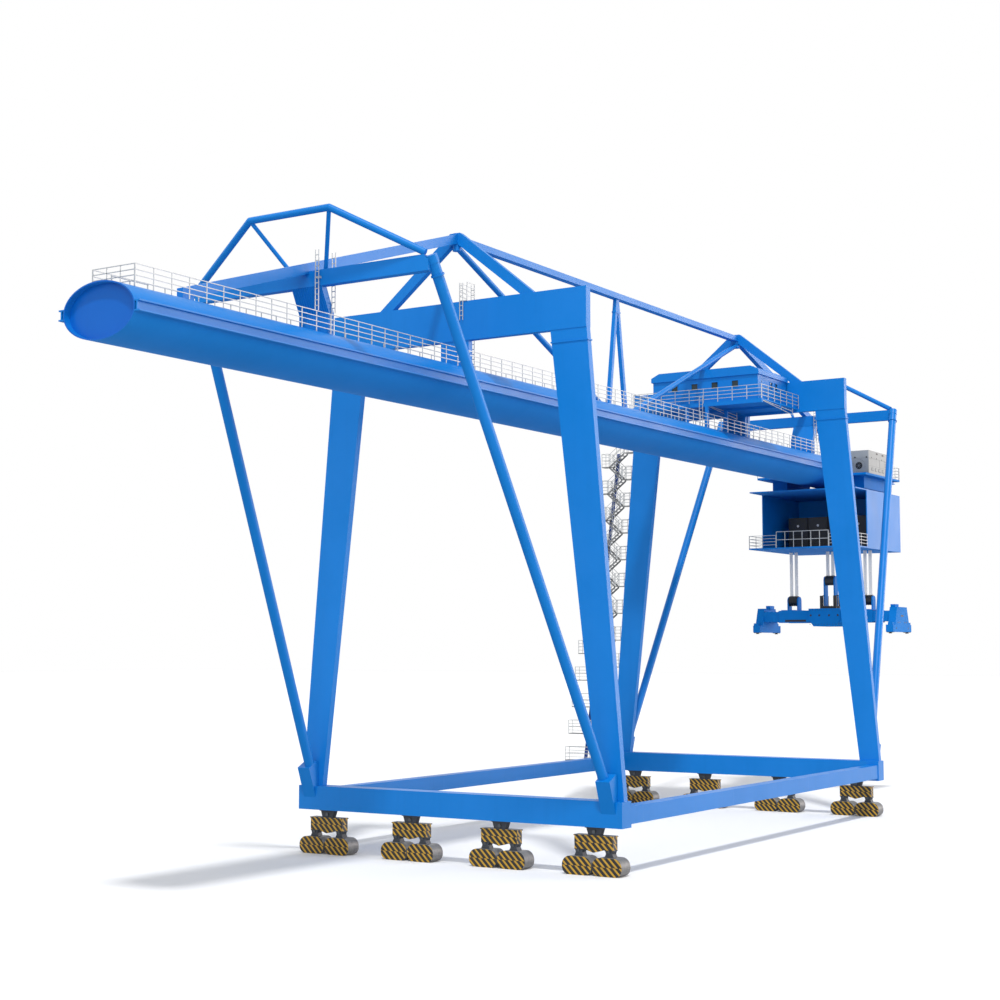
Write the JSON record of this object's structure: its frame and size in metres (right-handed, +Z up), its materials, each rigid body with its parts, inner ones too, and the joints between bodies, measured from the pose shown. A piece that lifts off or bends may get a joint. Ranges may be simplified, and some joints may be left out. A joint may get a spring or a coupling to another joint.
{
  "type": "1:10 scale model of a wide-span gantry crane",
  "caption": "Wide gantry crane on closed bogies: lattice-free tube girder with cantilevers, raking braces, ties, slewing trolley, roped spreader and stair tower.",
  "frame": {"origin": "ground level at the middle of the gantry", "axes": "+X along the main girder to the end where the trolley stands, +Y along the rails to the side with the stair tower, +Z up"},
  "size_m": [9.836, 2.7206, 3.742],
  "materials": {
    "blue_paint": "gloss",
    "dark_blue_paint": "satin",
    "graphite_paint": "satin",
    "galvanised_steel": "matt",
    "dark_glass": "gloss",
    "light_grey_paint": "satin",
    "black_paint": "satin",
    "machined_steel": "satin",
    "steel_rope": "satin"
  },
  "bodies": {
    "gantry": {"sill_beams": "blue_paint", "tie_beams": "blue_paint", "portal_legs": "blue_paint", "crossbeams": "blue_paint", "outer_beams": "blue_paint", "corner_braces": "blue_paint", "brace_shoes": "blue_paint", "outer_hoops": "blue_paint", "girder_tube": "blue_paint", "runway_brackets": "blue_paint", "girder_hangers": "blue_paint", "apex_frames": "blue_paint", "outer_ties": "blue_paint", "top_tie": "blue_paint", "inner_ties": "blue_paint", "middle_struts": "blue_paint", "house_walls": "blue_paint", "house_roof": "blue_paint", "house_platform": "blue_paint", "equaliser_beams": "blue_paint", "truck_housings": "blue_paint", "stair_post": "dark_blue_paint", "bogie_pedestals": "graphite_paint", "truck_necks": "graphite_paint", "walkway_railings": "galvanised_steel", "beam_ladders": "galvanised_steel", "beam_landings": "galvanised_steel", "beam_railings": "galvanised_steel", "stair_landings": "galvanised_steel", "stair_stringers": "galvanised_steel", "stair_treads": "galvanised_steel", "stair_railings": "galvanised_steel", "house_railings": "galvanised_steel", "house_windows": "dark_glass"},
    "trolley": {"trolley_frame": "blue_paint", "trolley_wheels": "machined_steel", "trolley_cabinet": "light_grey_paint", "trolley_railings": "galvanised_steel"},
    "slewing_house": {"slew_deck": "blue_paint", "slew_roof": "blue_paint", "slew_walls": "blue_paint", "winch_housings": "black_paint", "slew_railings": "galvanised_steel", "winch_guard": "galvanised_steel", "outer_ropes": "steel_rope", "centre_ropes": "steel_rope"},
    "spreader": {"spreader_frame": "blue_paint", "sheaves": "light_grey_paint", "sheave_cheeks": "blue_paint", "spreader_drive": "black_paint"},
    "spreader_arm_left": {"arm_left": "blue_paint"},
    "spreader_arm_right": {"arm_right": "blue_paint"},
    "twistlock_front_right": {"twistlock_front_right": "machined_steel"},
    "twistlock_front_left": {"twistlock_front_left": "machined_steel"},
    "twistlock_rear_right": {"twistlock_rear_right": "machined_steel"},
    "twistlock_rear_left": {"twistlock_rear_left": "machined_steel"},
    "machinery_house_door": {"house_door": "blue_paint"}
  },
  "joints": [
    {"name": "trolley_travel", "type": "slide", "parent": "gantry", "child": "trolley", "axis": [1, 0, 0], "range_m": [-8.2, 0.4]},
    {"name": "house_slew", "type": "hinge", "parent": "trolley", "child": "slewing_house", "pos_m": [3.926, 0, 2.61], "axis": [0, 0, 1], "range_deg": [-180, 180]},
    {"name": "spreader_hoist", "type": "slide", "parent": "slewing_house", "child": "spreader", "axis": [0, 0, 1], "range_m": [-1.3, 0.2], "deforming": ["outer_ropes", "centre_ropes"]},
    {"name": "arm_left_slide", "type": "slide", "parent": "spreader", "child": "spreader_arm_left", "axis": [0, 1, 0], "range_m": [-0.1, 0.076]},
    {"name": "arm_right_slide", "type": "slide", "parent": "spreader", "child": "spreader_arm_right", "axis": [0, -1, 0], "range_m": [-0.1, 0.076]},
    {"name": "twistlock_front_left_turn", "type": "hinge", "parent": "spreader_arm_left", "child": "twistlock_front_left", "pos_m": [3.718, 0.613, 1.388], "axis": [0, 0, 1], "range_deg": [0, 90]},
    {"name": "twistlock_front_right_turn", "type": "hinge", "parent": "spreader_arm_right", "child": "twistlock_front_right", "pos_m": [3.718, -0.613, 1.388], "axis": [0, 0, 1], "range_deg": [0, 90]},
    {"name": "twistlock_rear_left_turn", "type": "hinge", "parent": "spreader_arm_left", "child": "twistlock_rear_left", "pos_m": [4.134, 0.613, 1.388], "axis": [0, 0, 1], "range_deg": [0, 90]},
    {"name": "twistlock_rear_right_turn", "type": "hinge", "parent": "spreader_arm_right", "child": "twistlock_rear_right", "pos_m": [4.134, -0.613, 1.388], "axis": [0, 0, 1], "range_deg": [0, 90]},
    {"name": "house_door_hinge", "type": "hinge", "parent": "gantry", "child": "machinery_house_door", "pos_m": [1.4806, -0.442, 3.2], "axis": [0, 0, -1], "range_deg": [0, 100]}
  ],
  "couplings": [
    {"joint": "arm_right_slide", "follows": "arm_left_slide", "ratio": 1},
    {"joint": "twistlock_front_right_turn", "follows": "twistlock_front_left_turn", "ratio": 1},
    {"joint": "twistlock_rear_left_turn", "follows": "twistlock_front_left_turn", "ratio": 1},
    {"joint": "twistlock_rear_right_turn", "follows": "twistlock_front_left_turn", "ratio": 1}
  ]
}
